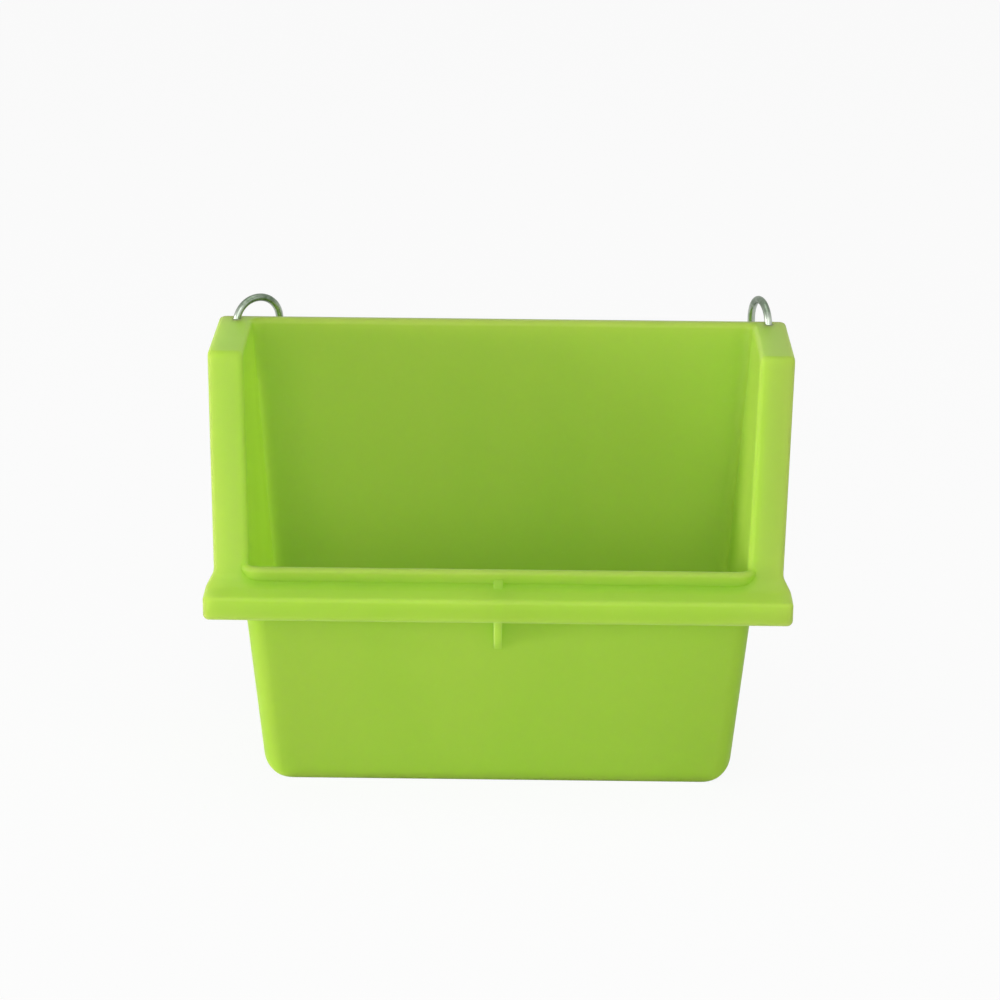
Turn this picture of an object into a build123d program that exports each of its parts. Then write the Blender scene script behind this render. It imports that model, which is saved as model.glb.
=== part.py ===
from build123d import *
import math
import os

os.makedirs("parts", exist_ok=True)

# Sizes in millimetres and angles in degrees.
# X runs to the right seen from the front, Y to the back, Z up.
# The origin is the middle of the flat base.
OVERALL_WIDTH = 150.0
BOWL_HEIGHT = 111.5
BOWL_DEPTH = 76.7
BASE_DEPTH = 50.0
SIDE_DRAFT = 4.1

# Sheet thicknesses.
WALL = 2.4
BACK_WALL = 3.4
FLOOR = 2.6

# Turned-out rim round the wings and the lip.
RIM_REACH = 9.0
RIM_SHEET = 2.4
INNER_EDGE_ROUND = 1.4
RIM_TOP_ROUND = 1.0
RIM_UNDER_ROUND = 0.8
RIM_ROOT_ROUND = 1.2
REAR_END_ROUND = 2.0

# Side wings with a level top and a front edge that slopes down to the lip.
WING_TOP_DEPTH = 36.8
WING_FOOT_AHEAD = 0.26
WING_TOP_ROUND = 3.0
WING_UNDER_ROUND = 1.6
WING_FOOT_ROUND = 6.0

# Raised top edge of the front wall.
FRONT_EDGE_HEIGHT = 64.2
FRONT_EDGE_ROUND = 1.0

# Front lip with its turned-down skirt.
LIP_REACH = 7.4
LIP_STEP = 4.4
LIP_SLOPE = 6.0
LIP_SKIRT = 6.1
LIP_CORNER_ROUND = 1.5
LIP_END_ROUND = 1.5
LIP_FLARE = 2.0
LIP_FLARE_HEIGHT = 3.3
LIP_FLARE_ROUND = 3.0

# Rounded corners of the well.
FRONT_CORNER_ROUND = 2.5
REAR_CORNER_ROUND = 3.0
BASE_SIDE_ROUND = 7.8
BASE_SIDE_STEP = 0.05
BASE_EDGE_ROUND = 1.1
FLOOR_EDGE_ROUND = 1.5

# Middle rib under the lip and the small rib on the step above it.
RIB_THICKNESS = 2.0
RIB_FOOT_HEIGHT = 41.0
STEP_RIB_WIDTH = 2.3
STEP_RIB_REACH = 2.0

# Bent wire hooks and the holes they turn in.
WIRE = 2.0
HOLE_CLEARANCE = 0.3
HOLE_FROM_EDGE = 4.7
HOLE_FROM_REAR = 3.2
HOOK_SPAN = 13.0
HOOK_RISE = 4.8
HOOK_BEND = 6.4
FRONT_LEG = 12.0
FOOT_REACH = 2.7
FOOT_BEND = 2.0
REAR_LEG = 25.0
LEAD_IN = 5.0
LEAD_IN_ANGLE = 18.0
LEAD_IN_BEND = 4.0
WIRE_END_ROUND = 0.3
LEFT_TURN_ANGLE = 57.0
RIGHT_TURN_ANGLE = 17.0

# Places that follow from the sizes.
REAR = BASE_DEPTH / 2
TAPER = math.tan(math.radians(SIDE_DRAFT))
FRONT_LEAN = (BOWL_DEPTH - LIP_REACH - BASE_DEPTH) / FRONT_EDGE_HEIGHT
LIP_FALL = math.tan(math.radians(LIP_SLOPE))
LIP_FRONT = REAR - BOWL_DEPTH
LIP_ROOT_HEIGHT = FRONT_EDGE_HEIGHT - LIP_STEP
LIP_ROOT = -BASE_DEPTH / 2 - LIP_ROOT_HEIGHT * FRONT_LEAN
LIP_TOP = LIP_ROOT_HEIGHT - (LIP_ROOT - LIP_FRONT) * LIP_FALL
LIP_BOTTOM = LIP_TOP - LIP_SKIRT
WING_RUN = REAR - WING_TOP_DEPTH - LIP_ROOT + WING_FOOT_AHEAD
SLOPE_RUN = WING_RUN / (BOWL_HEIGHT - LIP_ROOT_HEIGHT)
MARGIN = 20.0
NEAR = 0.02


def half_width(height):
    """Half the inside width of the well at a height above the base."""
    return OVERALL_WIDTH / 2 - RIM_REACH - (BOWL_HEIGHT - height) * TAPER


def front_face(height):
    """Y of the outer face of the front wall at a height above the base."""
    return -BASE_DEPTH / 2 - height * FRONT_LEAN


def wing_edge(height):
    """Y of the sloping front edge of a wing at a height above the base."""
    return REAR - WING_TOP_DEPTH - (BOWL_HEIGHT - height) * SLOPE_RUN


def wing_foot():
    """Point in Y and Z where the wing slope meets the top of the lip."""
    gap = wing_edge(LIP_ROOT_HEIGHT) - LIP_ROOT
    drop = gap * LIP_FALL / (1 - SLOPE_RUN * LIP_FALL)
    height = LIP_ROOT_HEIGHT + drop
    return (wing_edge(height), height)


def nearest(shape, point):
    """Corner of a flat outline that lies nearest to a point."""
    return shape.vertices().sort_by_distance(point)[0]


def prism(bottom, inner):
    """Sharp-edged block with the leaning front and drafted sides of the well."""
    grow = 0 if inner else WALL
    top = BOWL_HEIGHT + MARGIN
    lean = WALL if inner else 0
    rear = REAR - (BACK_WALL if inner else 0)
    side_view = Polyline(
        (front_face(bottom) + lean, bottom),
        (front_face(top) + lean, top),
        (rear, top),
        (rear, bottom),
        close=True,
    )
    low = half_width(bottom) + grow
    high = half_width(top) + grow
    front_view = Polyline((-low, bottom), (-high, top), (high, top), (low, bottom), close=True)
    length = extrude(Plane.YZ * make_face(side_view), amount=OVERALL_WIDTH, both=True)
    return length & extrude(Plane.XZ * make_face(front_view), amount=2 * BOWL_DEPTH, both=True)


def corner_cutter(height, half, rounded):
    """Waste beside one long rounded edge of the base, a hair outside the right wall."""
    half += BASE_SIDE_STEP
    reach = rounded * math.tan(math.radians((90 - SIDE_DRAFT) / 2))
    start = (half - reach, height)
    lean = math.radians(SIDE_DRAFT)
    stop = (half + reach * math.sin(lean), height + reach * math.cos(lean))
    waste = Polyline(
        start,
        (start[0], height - MARGIN),
        (half + MARGIN, height - MARGIN),
        (half + MARGIN, stop[1]),
        stop,
    )
    curve = TangentArc(start, stop, tangent=(1, 0))
    return extrude(Plane.XZ * make_face([waste, curve]), amount=2 * BOWL_DEPTH, both=True)


def long_edge_cut(block, height, inner):
    """Round the two long lower edges of a well block."""
    half = half_width(height) + (0 if inner else WALL)
    cutter = corner_cutter(height, half, BASE_SIDE_ROUND - (WALL if inner else 0))
    return block - cutter - mirror(cutter, about=Plane.YZ)


def corner_edges(block, rear):
    """Upright edges of a block on its rear or its front side."""
    upright = [edge for edge in block.edges() if abs(edge.tangent_at(0.5).Z) > 0.9]
    return [edge for edge in upright if (edge.center().Y > 0) == rear]


def well_block(bottom, inner):
    """Solid between the foot of the well and a height above its top."""
    grow = 0 if inner else WALL
    block = prism(bottom, inner)
    block = fillet(corner_edges(block, False), FRONT_CORNER_ROUND + grow)
    block = fillet(corner_edges(block, True), REAR_CORNER_ROUND + grow)
    if inner:
        block = fillet(block.edges().group_by(Axis.Z)[0], FLOOR_EDGE_ROUND)
        return long_edge_cut(block, bottom, inner)
    block = long_edge_cut(block, bottom, inner)
    across = [e for e in block.edges().group_by(Axis.Z)[0] if abs(e.tangent_at(0.5).X) > 0.9]
    return fillet(across, BASE_EDGE_ROUND)


def wall_region():
    """Side view of the walls, up to the middle of the rim sheet."""
    inset = RIM_SHEET / 2
    crown = BOWL_HEIGHT - inset
    shift = inset * math.hypot(1, SLOPE_RUN)
    region = make_face(Polyline(
        (REAR + MARGIN, crown),
        (wing_edge(crown) + shift, crown),
        (wing_edge(LIP_ROOT_HEIGHT) + shift, LIP_ROOT_HEIGHT),
        (LIP_FRONT - MARGIN, LIP_ROOT_HEIGHT),
        (LIP_FRONT - MARGIN, -MARGIN),
        (REAR + MARGIN, -MARGIN),
        close=True,
    ))
    return extrude(Plane.YZ * region, amount=OVERALL_WIDTH, both=True)


def rim_sheet():
    """Turned-out sheet that runs along the wing tops, slopes and lip."""
    top_front = (REAR - WING_TOP_DEPTH, BOWL_HEIGHT)
    lip_edge = (LIP_FRONT, LIP_TOP)
    foot = wing_foot()
    path = Polyline((REAR, BOWL_HEIGHT), top_front, foot, lip_edge, (LIP_FRONT, LIP_BOTTOM - MARGIN))
    band = make_face(offset(path, amount=RIM_SHEET, side=Side.LEFT, kind=Kind.INTERSECTION, closed=True))
    bends = ((top_front, WING_TOP_ROUND, WING_UNDER_ROUND), (foot, WING_FOOT_ROUND, WING_FOOT_ROUND + RIM_SHEET))
    for point, above, below in bends:
        under = band.vertices().sort_by_distance(point)[1]
        band = fillet(under, below)
        band = fillet(nearest(band, point), above)
    return extrude(Plane.YZ * band, amount=OVERALL_WIDTH, both=True)


def rim_outline():
    """Front view of the rim, with its taper and the flare into the lip."""
    crown = BOWL_HEIGHT + MARGIN
    top = (half_width(crown) + RIM_REACH, crown)
    start = LIP_TOP + LIP_FLARE_HEIGHT
    flare = (half_width(start) + RIM_REACH, start)
    end = (flare[0] + LIP_FLARE, LIP_TOP)
    low = (end[0], LIP_BOTTOM)
    half = [top, flare, end, low]
    other = [(-x, z) for x, z in reversed(half)]
    outline = make_face(Polyline(*half, *other, close=True))
    for x, z, radius in (flare + (LIP_FLARE_ROUND,), end + (LIP_FLARE_ROUND,), low + (LIP_END_ROUND,)):
        for sign in (1, -1):
            outline = fillet(nearest(outline, (sign * x, z)), radius)
    return extrude(Plane.XZ * outline, amount=2 * BOWL_DEPTH, both=True)


def sloped_faces(solid, upward):
    """Faces of the rim sheet that look up, or those that look down."""
    sign = 1 if upward else -1
    return [f for f in solid.faces() if sign * f.normal_at().Z > 0.4 and abs(f.normal_at().X) < 0.1]


def border(faces):
    """Edges that bound only one face of a group."""
    edges = [edge for face in faces for edge in face.edges()]
    return [edge for edge in edges if sum(edge.is_same(other) for other in edges) == 1]


def upright_edges(solid, y):
    """Short upright edges of the rim sheet at one end."""
    found = solid.edges().filter_by(GeomType.LINE)
    return [e for e in found if abs(e.center().Y - y) < 0.1 and abs(e.tangent_at(0.5).Z) > 0.9]


def rounded_sheet():
    """Rim sheet with its corners and both borders rounded."""
    sheet = rim_sheet() & rim_outline()
    sheet = fillet(upright_edges(sheet, REAR), REAR_END_ROUND)
    sheet = fillet(upright_edges(sheet, LIP_FRONT), LIP_CORNER_ROUND)
    sheet = fillet(border(sloped_faces(sheet, True)), RIM_TOP_ROUND)
    return fillet(border(sloped_faces(sheet, False)), RIM_UNDER_ROUND)


def mouth_edges(solid):
    """Edges round the mouth of the well, on the inside of the rim."""
    found = []
    for edge in border(sloped_faces(solid, True)):
        middle = edge.center()
        beside = abs(middle.X) < half_width(middle.Z) + NEAR
        between = LIP_ROOT < middle.Y < REAR - BACK_WALL + NEAR
        if middle.Z > LIP_ROOT_HEIGHT and beside and between:
            found.append(edge)
    return found


def root_edges(solid):
    """Edges where the underside of the rim meets the outside of the walls."""
    found = []
    for edge in border(sloped_faces(solid, False)):
        middle = edge.center()
        beside = abs(middle.X) < half_width(middle.Z) + WALL + NEAR
        between = (LIP_ROOT + LIP_FRONT) / 2 < middle.Y < REAR - NEAR
        if middle.Z > LIP_BOTTOM and beside and between:
            found.append(edge)
    return found


def front_edge(outer, cavity):
    """Top of the front wall, which stands up above the lip."""
    low = Pos(0, 0, FRONT_EDGE_HEIGHT - BOWL_DEPTH) * Box(2 * OVERALL_WIDTH, 4 * BOWL_DEPTH, 2 * BOWL_DEPTH)
    band = (outer & low) - cavity
    band = fillet(band.edges().group_by(Axis.Z)[-1], FRONT_EDGE_ROUND)
    depth = 4 * WALL
    height = LIP_STEP + 2 * RIM_SHEET
    behind = wing_edge(FRONT_EDGE_HEIGHT) + RIM_SHEET / 2
    keep = Pos(0, behind - depth / 2, FRONT_EDGE_HEIGHT - height / 2) * Box(2 * OVERALL_WIDTH, depth, height)
    return band & keep


def middle_rib():
    """Tapering rib from the skirt back to the front wall."""
    embed = WALL / 2
    side = make_face(Polyline(
        (LIP_FRONT + embed, LIP_BOTTOM + embed),
        (LIP_FRONT + embed, LIP_TOP - embed),
        (LIP_ROOT + embed, LIP_ROOT_HEIGHT - embed),
        (front_face(RIB_FOOT_HEIGHT) + embed, RIB_FOOT_HEIGHT),
        (front_face(RIB_FOOT_HEIGHT), RIB_FOOT_HEIGHT),
        (LIP_FRONT + RIM_SHEET, LIP_BOTTOM + embed),
        close=True,
    ))
    return extrude(Plane.YZ * side, amount=RIB_THICKNESS / 2, both=True)


def step_rib():
    """Small rib on the step between the lip and the raised front edge."""
    embed = WALL / 2
    high = LIP_ROOT_HEIGHT + STEP_RIB_REACH
    side = make_face(Polyline(
        (LIP_ROOT + embed, LIP_ROOT_HEIGHT - embed),
        (LIP_ROOT - STEP_RIB_REACH, LIP_ROOT_HEIGHT - embed),
        (LIP_ROOT - STEP_RIB_REACH, LIP_ROOT_HEIGHT - STEP_RIB_REACH * LIP_FALL),
        (front_face(high), high),
        (front_face(high) + embed, high),
        close=True,
    ))
    return extrude(Plane.YZ * side, amount=STEP_RIB_WIDTH / 2, both=True)


HOLE_X = OVERALL_WIDTH / 2 - HOLE_FROM_EDGE
HOLE_Y = REAR - HOLE_FROM_REAR


def make_bowl():
    """The moulded bowl in one piece."""
    outer = well_block(0, False)
    cavity = well_block(FLOOR, True)
    bowl = (outer & wall_region()) + rounded_sheet()
    bowl = fillet(root_edges(bowl), RIM_ROOT_ROUND) - cavity
    bowl = fillet(mouth_edges(bowl), INNER_EDGE_ROUND)
    bowl = bowl + front_edge(outer, cavity) + middle_rib() + step_rib()
    for x in (-HOLE_X, HOLE_X):
        bowl -= Pos(x, HOLE_Y, BOWL_HEIGHT) * Cylinder(WIRE / 2 + HOLE_CLEARANCE, 3 * RIM_SHEET)
    return bowl


def make_hook(x, turn):
    """Wire hook with its arch turned away from straight back, about its front leg."""
    top = BOWL_HEIGHT + HOOK_RISE
    foot = BOWL_HEIGHT - RIM_SHEET - FRONT_LEG
    knee = BOWL_HEIGHT - REAR_LEG + LEAD_IN
    lean = math.radians(LEAD_IN_ANGLE)
    path = Plane.YZ * FilletPolyline(
        (-FOOT_REACH, foot),
        (0, foot),
        (0, top),
        (HOOK_SPAN, top),
        (HOOK_SPAN, knee),
        (HOOK_SPAN + LEAD_IN * math.sin(lean), knee - LEAD_IN * math.cos(lean)),
        radius=(FOOT_BEND, HOOK_BEND, HOOK_BEND, LEAD_IN_BEND),
    )
    wire = sweep(Plane(origin=path @ 0, z_dir=path % 0) * Circle(WIRE / 2), path=path)
    wire = fillet(wire.faces().filter_by(GeomType.PLANE).edges(), WIRE_END_ROUND)
    return Pos(x, HOLE_Y, 0) * Rot(0, 0, turn) * wire


nodes = {
    "bowl": make_bowl(),
    "left_hook": make_hook(-HOLE_X, -LEFT_TURN_ANGLE),
    "right_hook": make_hook(HOLE_X, RIGHT_TURN_ANGLE),
}

for name, solid in nodes.items():
    solid.label = name
    export_step(solid, f"parts/{name}.step")
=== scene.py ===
"""Dresses and lights a hook-on pet bowl: one moulded lime bowl and two bent wire hooks.

Everything is in metres, with X to the right seen from the front, Y to the back and Z up,
and the origin in the middle of the flat base.
"""

import logging
import math
from dataclasses import dataclass, field
from enum import Enum

import bpy
from mathutils import Matrix, Vector

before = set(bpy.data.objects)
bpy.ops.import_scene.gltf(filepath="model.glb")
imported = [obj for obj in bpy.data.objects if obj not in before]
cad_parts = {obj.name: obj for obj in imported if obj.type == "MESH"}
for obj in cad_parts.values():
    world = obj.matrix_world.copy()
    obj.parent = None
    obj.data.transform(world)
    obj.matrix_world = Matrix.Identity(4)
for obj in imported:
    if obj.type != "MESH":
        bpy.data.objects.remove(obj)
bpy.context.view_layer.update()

log = logging.getLogger("pet_bowl")

Colour = tuple[float, float, float]
Point = tuple[float, float, float]
Stretch = tuple[float, float, float]
Spot = tuple[float, float]
Span = tuple[float, float]

WHITE: Colour = (1.0, 1.0, 1.0)


class Side(Enum):
    """The two ends of the bowl, seen from the front."""

    LEFT = "left"
    RIGHT = "right"


@dataclass(frozen=True)
class Pattern:
    """A soft random pattern: its cells in a metre, its finer layers and how strong they are."""

    scale: float
    layers: float = 2.0
    rough: float = 0.5


class Signal:
    """A shader output that can stand in a Python expression."""

    def __init__(self, graph: "ShaderGraph", socket: bpy.types.NodeSocket) -> None:
        """Keep the socket and the graph that it belongs to.

        Args:
            graph: The graph that new nodes are added to.
            socket: The output socket that this signal stands for.
        """
        self.graph = graph
        self.socket = socket

    def maths(self, operation: str, first: "Value", second: "Value" = 0.0) -> "Signal":
        """Add one Math node.

        Args:
            operation: The Math node's operation.
            first: Its first value.
            second: Its second value.

        Returns:
            The node's result.
        """
        return self.graph.node("ShaderNodeMath", {"operation": operation}, {0: first, 1: second})

    def __add__(self, other: "Value") -> "Signal":
        """Sum."""
        return self.maths("ADD", self, other)

    def __radd__(self, other: "Value") -> "Signal":
        """Sum with a number on the left."""
        return self.maths("ADD", other, self)

    def __sub__(self, other: "Value") -> "Signal":
        """Difference."""
        return self.maths("SUBTRACT", self, other)

    def __rsub__(self, other: "Value") -> "Signal":
        """Difference with a number on the left."""
        return self.maths("SUBTRACT", other, self)

    def __mul__(self, other: "Value") -> "Signal":
        """Product."""
        return self.maths("MULTIPLY", self, other)

    def __rmul__(self, other: "Value") -> "Signal":
        """Product with a number on the left."""
        return self.maths("MULTIPLY", other, self)

    def __pow__(self, exponent: "Value") -> "Signal":
        """Power."""
        return self.maths("POWER", self, exponent)

    def __abs__(self) -> "Signal":
        """Size without its sign."""
        return self.maths("ABSOLUTE", self)

    def larger(self, other: "Value") -> "Signal":
        """The larger of two values at each point."""
        return self.maths("MAXIMUM", self, other)


Value = Signal | float | int


@dataclass(frozen=True)
class Place:
    """Each point's place on its piece, in metres, whole and by axis."""

    whole: Signal
    x: Signal
    y: Signal
    z: Signal


class ShaderGraph:
    """The nodes of one material or world, built from Python expressions."""

    def __init__(self, tree: bpy.types.NodeTree) -> None:
        """Start from an empty node tree.

        Args:
            tree: The node tree to fill.
        """
        tree.nodes.clear()
        self.tree = tree

    def node(
        self,
        kind: str,
        settings: dict[str, object] | None = None,
        inputs: dict[str | int, object] | None = None,
        output: str | int = 0,
    ) -> Signal:
        """Add a node, apply its settings, then fill its sockets.

        Args:
            kind: The node's type.
            settings: Its properties.
            inputs: Values or signals by socket name or number.
            output: The output socket to return.

        Returns:
            The chosen output.
        """
        made = self.tree.nodes.new(kind)
        for name, value in (settings or {}).items():
            setattr(made, name, value)
        for name, value in (inputs or {}).items():
            if isinstance(value, Signal):
                self.tree.links.new(value.socket, made.inputs[name])
            else:
                made.inputs[name].default_value = value
        return Signal(self, made.outputs[output] if made.outputs else None)

    def place(self) -> Place:
        """Read each point's place on its piece.

        Returns:
            The place, whole and by axis.
        """
        whole = self.node("ShaderNodeTexCoord", output="Object")
        axes = self.node("ShaderNodeSeparateXYZ", inputs={0: whole}).socket.node.outputs
        return Place(whole, *(Signal(self, axis) for axis in axes))

    def stretched(self, vector: Signal, stretch: Stretch) -> Signal:
        """Scale a vector on each axis."""
        return self.node("ShaderNodeVectorMath", {"operation": "MULTIPLY"}, {0: vector, 1: stretch})

    def noise(self, vector: Signal, pattern: Pattern) -> Signal:
        """Draw a soft random pattern.

        Args:
            vector: The coordinates to read.
            pattern: The pattern to draw.

        Returns:
            A value from 0 to 1 with its middle near 0.5.
        """
        return self.node(
            "ShaderNodeTexNoise",
            {"noise_dimensions": "3D"},
            {"Vector": vector, "Scale": pattern.scale, "Detail": pattern.layers, "Roughness": pattern.rough},
        )

    def rise(self, value: Signal, span: Span) -> Signal:
        """Rise smoothly from 0 to 1.

        Args:
            value: The value to read.
            span: Where the rise starts and where it ends.

        Returns:
            A value from 0 to 1.
        """
        return self.node(
            "ShaderNodeMapRange",
            {"interpolation_type": "SMOOTHSTEP"},
            {"Value": value, "From Min": span[0], "From Max": span[1]},
        )

    def fade(self, value: Signal, span: Span) -> Signal:
        """Fall smoothly from 1 at the start of a span to 0 at its end."""
        return 1.0 - self.rise(value, span)

    def blend(self, share: Value, first: Signal | Colour, second: Signal | Colour) -> Signal:
        """Mix two colours, on the Mix node's own colour sockets, 6 and 7.

        Args:
            share: How much of the second colour shows.
            first: The first colour.
            second: The second colour.

        Returns:
            The mixed colour.
        """
        colours = [c if isinstance(c, Signal) else (*c, 1.0) for c in (first, second)]
        return self.node(
            "ShaderNodeMix", {"data_type": "RGBA"}, {0: share, 6: colours[0], 7: colours[1]}, output=2
        )

    def bump(self, height: Signal, depth: float, under: Signal | None = None) -> Signal:
        """Turn a height into a normal.

        Args:
            height: The height, from 0 to 1.
            depth: How far 1 stands above 0, in metres.
            under: A normal that this one lies on.

        Returns:
            The normal.
        """
        inputs: dict[str | int, object] = {"Height": height, "Distance": depth, "Strength": 1.0}
        if under is not None:
            inputs["Normal"] = under
        return self.node("ShaderNodeBump", inputs=inputs)

    def surface(self, sockets: dict[str, object]) -> None:
        """End a material in one physically based surface.

        Args:
            sockets: Values or signals of the surface's sockets.
        """
        shader = self.node("ShaderNodeBsdfPrincipled", inputs=sockets)
        self.node("ShaderNodeOutputMaterial", inputs={"Surface": shader})


def new_material(name: str) -> tuple[bpy.types.Material, ShaderGraph]:
    """Start a material.

    Args:
        name: The material's name.

    Returns:
        The material and its empty graph.
    """
    material = bpy.data.materials.new(name)
    material.use_nodes = True
    return material, ShaderGraph(material.node_tree)


@dataclass(frozen=True)
class LimePlastic:
    """Smooth moulded lime plastic, slightly see-through, with a soft gloss.

    A span says where a change starts and ends. A share says how much of a colour shows, and
    a matt value how much roughness a mark adds.
    """

    name: str = "lime_plastic"
    body: Colour = (0.375, 0.655, 0.066)
    thick: Colour = (0.350, 0.630, 0.060)
    rubbed: Colour = (0.455, 0.720, 0.130)
    roughness: float = 0.36
    refraction: float = 1.49
    shine: float = 0.08
    glow_spread: Colour = (0.85, 1.0, 0.6)
    glow_depth: float = 0.020

    flow: Pattern = Pattern(26.0, 3.0, 0.45)
    flow_stretch: Stretch = (1.0, 1.0, 0.45)
    flow_span: Span = (0.34, 0.70)
    flow_matt: float = 0.10
    fleck: Pattern = Pattern(900.0, 2.0, 0.6)
    fleck_span: Span = (0.58, 0.80)
    fleck_share: float = 0.10

    patch: Pattern = Pattern(420.0, 3.0, 0.6)
    ring_span: Span = (0.25, 0.55)
    hole_place: Spot = (0.0703, 0.0218)
    hole_reach: Span = (0.0014, 0.0030)
    hole_height: Span = (0.1075, 0.1085)
    scuff_span: Span = (0.48, 0.66)
    scuff_height: Span = (0.0002, 0.0012)
    scuff_strength: float = 0.6
    rub_share: float = 0.55
    rub_matt: float = 0.16

    well_side: Span = (0.0570, 0.0590)
    well_rear: Span = (0.0220, 0.0235)
    well_floor: Span = (0.0010, 0.0022)
    well_rub: Span = (0.0100, 0.0450)
    scratch: Pattern = Pattern(1.0, 1.0)
    scratch_angle: float = 0.6
    scratch_one: Stretch = (90.0, 2600.0, 90.0)
    scratch_two: Stretch = (2300.0, 110.0, 110.0)
    scratch_span: Span = (0.66, 0.74)
    scratch_matt: float = 0.10

    wave: Pattern = Pattern(34.0, 1.0, 0.4)
    wave_depth: float = 0.00022
    grain: Pattern = Pattern(2400.0, 2.0, 0.55)
    grain_depth: float = 0.0000035
    pin_place: Spot = (0.043, 0.014)
    pin_rim: Span = (0.00288, 0.00312)
    pin_sunk: float = 0.6
    gate_rim: Span = (0.0040, 0.0046)
    gate_sunk: float = 0.8
    stub_rim: Span = (0.0013, 0.0016)
    stub_raised: float = 0.8
    mark_height: Span = (0.0001, 0.0006)
    mark_depth: float = 0.00012

    def make(self) -> bpy.types.Material:
        """Build the material.

        Returns:
            The finished material.
        """
        material, graph = new_material(self.name)
        place = graph.place()
        flow = graph.noise(graph.stretched(place.whole, self.flow_stretch), self.flow)
        fleck = graph.noise(place.whole, self.fleck)
        colour = graph.blend(graph.rise(flow, self.flow_span), self.body, self.thick)
        colour = graph.blend(graph.rise(fleck, self.fleck_span) * self.fleck_share, colour, self.rubbed)
        rub = self.rub_marks(graph, place)
        colour = graph.blend(rub * self.rub_share, colour, self.rubbed)
        dulled = self.scratches(graph, place) * self.inside_floor(graph, place)
        roughness = self.roughness + self.flow_matt * flow + self.rub_matt * rub
        graph.surface({
            "Base Color": colour,
            "Roughness": roughness + self.scratch_matt * dulled,
            "Normal": self.relief(graph, place),
            "IOR": self.refraction,
            "Specular IOR Level": self.shine,
            "Subsurface Weight": 1.0,
            "Subsurface Radius": self.glow_spread,
            "Subsurface Scale": self.glow_depth,
        })
        return material

    def rub_marks(self, graph: ShaderGraph, place: Place) -> Signal:
        """Pale rubbed rings round the hook holes and scuffs under the base.

        Args:
            graph: The material's graph.
            place: Each point's place.

        Returns:
            How rubbed each point is, from 0 to 1.
        """
        hole_x, hole_y = self.hole_place
        away = self.distance(abs(place.x) - hole_x, place.y - hole_y)
        ring = graph.fade(away, self.hole_reach) * graph.rise(place.z, self.hole_height)
        patchy = graph.noise(place.whole, self.patch)
        scuff = graph.fade(place.z, self.scuff_height) * graph.rise(patchy, self.scuff_span)
        return (ring * graph.rise(patchy, self.ring_span)).larger(scuff * self.scuff_strength)

    @staticmethod
    def distance(across: Signal, along: Signal) -> Signal:
        """Distance in a plane from two offsets."""
        return (across * across + along * along) ** 0.5

    def inside_floor(self, graph: ShaderGraph, place: Place) -> Signal:
        """Share of each point that lies low inside the well, where food rubs.

        Args:
            graph: The material's graph.
            place: Each point's place.

        Returns:
            A value from 0 to 1.
        """
        inside = graph.fade(abs(place.x), self.well_side) * graph.fade(place.y, self.well_rear)
        return inside * graph.rise(place.z, self.well_floor) * graph.fade(place.z, self.well_rub)

    def scratches(self, graph: ShaderGraph, place: Place) -> Signal:
        """Fine hairlines that cross at two angles.

        Args:
            graph: The material's graph.
            place: Each point's place.

        Returns:
            A value from 0 to 1.
        """
        turned = graph.node(
            "ShaderNodeVectorRotate",
            {"rotation_type": "Z_AXIS"},
            {"Vector": place.whole, "Angle": self.scratch_angle},
        )
        one = graph.noise(graph.stretched(turned, self.scratch_one), self.scratch)
        two = graph.noise(graph.stretched(turned, self.scratch_two), self.scratch)
        return graph.rise(one.larger(two), self.scratch_span)

    def relief(self, graph: ShaderGraph, place: Place) -> Signal:
        """Mould texture, slow unevenness and the pin and gate marks under the base.

        Args:
            graph: The material's graph.
            place: Each point's place.

        Returns:
            The surface normal.
        """
        wave = graph.bump(graph.noise(place.whole, self.wave), self.wave_depth)
        grain = graph.bump(graph.noise(place.whole, self.grain), self.grain_depth, wave)
        pin_x, pin_y = self.pin_place
        pin = graph.fade(self.distance(abs(place.x) - pin_x, abs(place.y) - pin_y), self.pin_rim)
        centre = self.distance(place.x, place.y)
        gate = graph.fade(centre, self.gate_rim) - self.stub_raised * graph.fade(centre, self.stub_rim)
        sunk = graph.fade(place.z, self.mark_height) * (self.pin_sunk * pin + self.gate_sunk * gate)
        return graph.bump(1.0 - sunk, self.mark_depth, grain)


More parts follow.
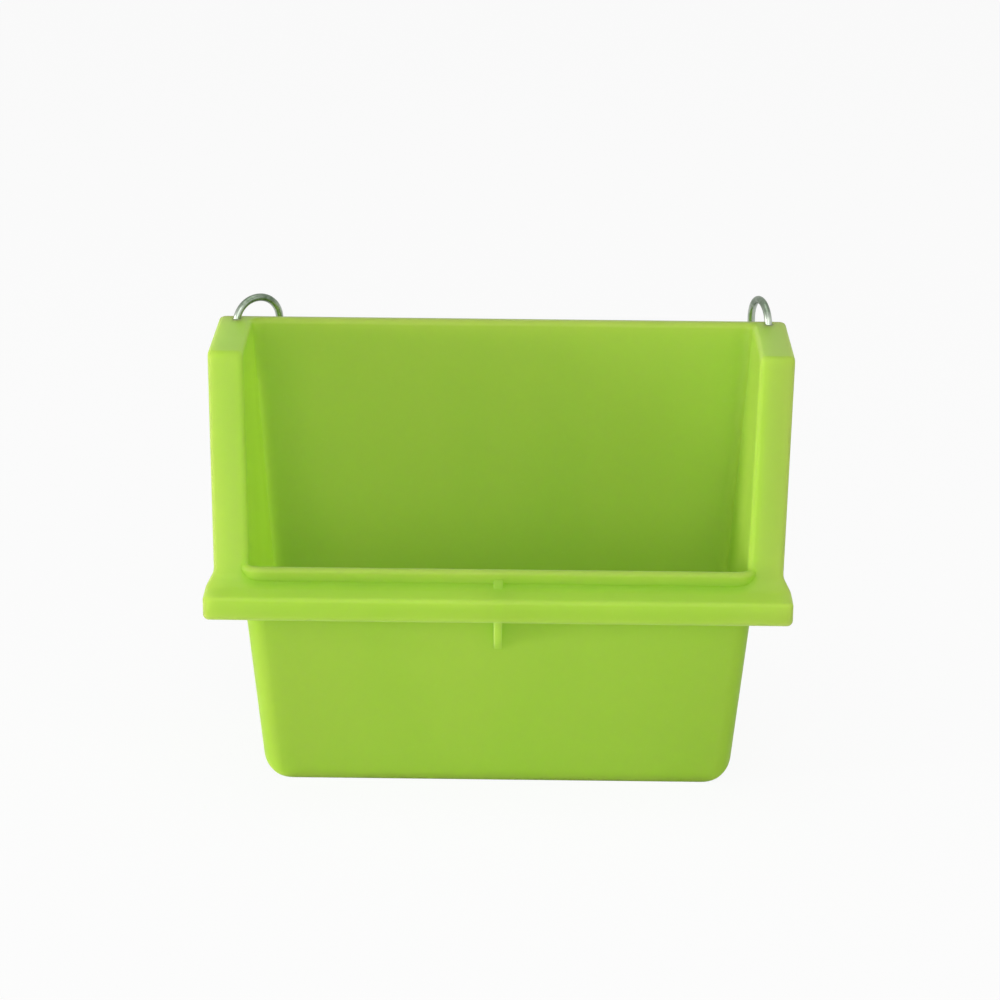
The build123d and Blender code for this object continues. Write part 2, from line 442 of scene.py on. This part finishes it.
@dataclass(frozen=True)
class PlatedWire:
    """Bright plated steel wire with faint drawing lines, small pits, random duller patches and a crown
    darkened with painted shade, which stands in for the darker reflection at the top of each arch.
    """

    name: str = "plated_wire"
    bright: Colour = (0.42, 0.47, 0.40)
    # Dark greenish colour for the random dull patches and for the painted shade on the crown of each arch.
    dull_and_painted_shade: Colour = (0.100, 0.145, 0.090)
    pitted: Colour = (0.20, 0.20, 0.18)
    roughness: float = 0.20
    # Height span and share of the painted shade that darkens the crown of each arch in place of a darker
    # reflection.
    painted_shade_height: Span = (0.1125, 0.1160)
    painted_shade_share: float = 0.7

    line: Pattern = Pattern(1.0, 2.0, 0.6)
    line_stretch: Stretch = (5200.0, 5200.0, 260.0)
    line_matt: float = 0.10
    line_depth: float = 0.000012
    cloud: Pattern = Pattern(520.0, 3.0, 0.6)
    cloud_span: Span = (0.38, 0.70)
    cloud_share: float = 0.3
    cloud_matt: float = 0.16
    pit: Pattern = Pattern(3600.0, 1.0)
    pit_span: Span = (0.70, 0.78)
    pit_share: float = 0.7
    pit_sunk: float = 0.6

    def make(self) -> bpy.types.Material:
        """Build the material.

        Returns:
            The finished material.
        """
        material, graph = new_material(self.name)
        place = graph.place()
        lines = graph.noise(graph.stretched(place.whole, self.line_stretch), self.line)
        cloud = graph.noise(place.whole, self.cloud)
        pits = graph.rise(graph.noise(place.whole, self.pit), self.pit_span)
        # Painted shade: the top of each arch is blended towards the dark green colour, standing in for its
        # darker reflection. The random cloud patches add real duller plating on top of it.
        painted_crown_shade = graph.rise(place.z, self.painted_shade_height)
        dulled = painted_crown_shade * self.painted_shade_share + self.cloud_share * graph.rise(cloud, self.cloud_span)
        colour = graph.blend(dulled, self.bright, self.dull_and_painted_shade)
        colour = graph.blend(pits * self.pit_share, colour, self.pitted)
        graph.surface({
            "Base Color": colour,
            "Metallic": 1.0,
            "Roughness": self.roughness + self.cloud_matt * cloud + self.line_matt * lines,
            "Normal": graph.bump(lines - self.pit_sunk * pits, self.line_depth),
        })
        return material


@dataclass
class MouldedBowl:
    """The one-piece bowl with its well, wings, rim, lip and ribs."""

    node: str = "bowl"
    finish: LimePlastic = field(default_factory=LimePlastic)

    def dress(self) -> None:
        """Give the bowl its plastic."""
        dress_node(self.node, self.finish.make())


@dataclass
class WireHook:
    """A bent wire hook that turns in its hole in one wing top."""

    side: Side

    @property
    def node(self) -> str:
        """Name of this hook's solid."""
        return f"{self.side.value}_hook"

    def dress(self, plating: bpy.types.Material) -> None:
        """Give the hook its plating.

        Args:
            plating: The plating, shared by both hooks.
        """
        dress_node(self.node, plating)


def dress_node(node: str, material: bpy.types.Material) -> None:
    """Put one material on a carried-over solid.

    Args:
        node: The solid's name.
        material: The material to put on it.
    """
    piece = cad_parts[node]
    piece.data.materials.clear()
    piece.data.materials.append(material)
    log.info("%s: %s", node, material.name)


@dataclass(frozen=True)
class Lamp:
    """A soft round lamp that looks at the bowl."""

    name: str
    place: Point
    size: float
    power: float
    aim: Point = (0.0, -0.01, 0.06)

    def make(self) -> None:
        """Add the lamp to the scene."""
        light = bpy.data.lights.new(self.name, "AREA")
        light.shape = "DISK"
        light.size = self.size
        light.energy = self.power
        lamp = bpy.data.objects.new(self.name, light)
        towards = Vector(self.aim) - Vector(self.place)
        turn = towards.to_track_quat("-Z", "Y").to_matrix().to_4x4()
        lamp.matrix_world = Matrix.Translation(self.place) @ turn
        bpy.context.scene.collection.objects.link(lamp)
        log.info("lamp %s", self.name)


@dataclass
class Studio:
    """Plain pale floor, white surroundings and soft lamps."""

    floor_size: float = 4.0
    floor_drop: float = 0.0001
    floor_colour: Colour = (0.90, 0.90, 0.90)
    floor_white: float = 0.93
    sky: float = 0.20
    lamps: tuple[Lamp, ...] = (
        Lamp("front", (-0.10, -1.35, 0.50), 1.00, 7.4),
        Lamp("left_side", (-1.25, -0.42, 0.12), 0.30, 10.7),
        Lamp("fill", (1.05, -1.00, 0.55), 0.80, 1.8),
        Lamp("top", (0.00, -0.30, 1.40), 1.20, 6.0),
    )

    def make(self) -> None:
        """Build the floor, the world and the lamps."""
        self.make_floor()
        self.make_world()
        for lamp in self.lamps:
            lamp.make()

    @staticmethod
    def seen_directly(graph: ShaderGraph) -> Signal:
        """Tell where the camera, a reflection or a see-through piece looks at the surroundings.

        Args:
            graph: The graph of the floor or the world.

        Returns:
            1 where they are seen directly, and 0 elsewhere.
        """
        rays = graph.node("ShaderNodeLightPath").socket.node.outputs
        kinds = ("Is Camera Ray", "Is Glossy Ray", "Is Transmission Ray")
        camera, glossy, through = (Signal(graph, rays[kind]) for kind in kinds)
        return camera.larger(glossy).larger(through)

    def make_floor(self) -> None:
        """Add the pale floor that keeps a faint shadow."""
        bpy.ops.object.select_all(action="DESELECT")
        bpy.ops.mesh.primitive_plane_add(size=self.floor_size, location=(0.0, 0.0, -self.floor_drop))
        floor = bpy.context.object
        floor.name = "floor"
        material, graph = new_material("pale_floor")
        matt = graph.node("ShaderNodeBsdfDiffuse", inputs={"Color": (*self.floor_colour, 1.0)})
        white = graph.node("ShaderNodeEmission", inputs={"Color": (*WHITE, 1.0), "Strength": 1.0})
        share = self.seen_directly(graph) * self.floor_white
        both = graph.node("ShaderNodeMixShader", inputs={0: share, 1: matt, 2: white})
        graph.node("ShaderNodeOutputMaterial", inputs={"Surface": both})
        floor.data.materials.append(material)
        log.info("floor")

    def make_world(self) -> None:
        """Surround the bowl with even white light."""
        world = bpy.data.worlds.new("white_room")
        world.use_nodes = True
        graph = ShaderGraph(world.node_tree)
        strength = self.sky + (1.0 - self.sky) * self.seen_directly(graph)
        sky = graph.node("ShaderNodeBackground", inputs={"Color": (*WHITE, 1.0), "Strength": strength})
        graph.node("ShaderNodeOutputWorld", inputs={"Surface": sky})
        bpy.context.scene.world = world


@dataclass
class PhotoView:
    """The photograph's camera: a long lens, a little above and turned a hair."""

    focal_px: float = 3390.0
    image_px: float = 1000.0
    sensor_mm: float = 36.0
    pitch: float = 17.71
    yaw: float = -0.41
    roll: float = 0.52
    distance: float = 0.8717
    aim: Point = (0.00005, -0.015, 0.07363)
    near: float = 0.01
    far: float = 20.0

    def make(self) -> None:
        """Add the camera and make it the scene's own."""
        pitch, yaw, roll = (math.radians(a) for a in (self.pitch, self.yaw, self.roll))
        ahead = math.cos(pitch)
        forward = Vector((math.sin(yaw) * ahead, math.cos(yaw) * ahead, -math.sin(pitch)))
        level = Vector((math.cos(yaw), -math.sin(yaw), 0.0))
        upward = level.cross(forward)
        right = level * math.cos(roll) + upward * math.sin(roll)
        top = upward * math.cos(roll) - level * math.sin(roll)
        place = Vector(self.aim) - forward * self.distance
        turn = Matrix((right, top, -forward)).transposed().to_4x4()
        lens = bpy.data.cameras.new("photo_view")
        lens.sensor_fit = "HORIZONTAL"
        lens.sensor_width = self.sensor_mm
        lens.lens = self.focal_px / self.image_px * self.sensor_mm
        lens.clip_start = self.near
        lens.clip_end = self.far
        camera = bpy.data.objects.new("photo_view", lens)
        camera.matrix_world = Matrix.Translation(place) @ turn
        bpy.context.scene.collection.objects.link(camera)
        bpy.context.scene.camera = camera
        log.info("camera %.1f mm", lens.lens)


def main() -> None:
    """Dress the pieces, then light and frame them."""
    logging.basicConfig(level=logging.INFO, format="%(name)s %(message)s")
    bpy.context.scene.view_settings.view_transform = "Standard"
    MouldedBowl().dress()
    plating = PlatedWire().make()
    for side in Side:
        WireHook(side).dress(plating)
    Studio().make()
    PhotoView().make()


if __name__ == "__main__":
    main()
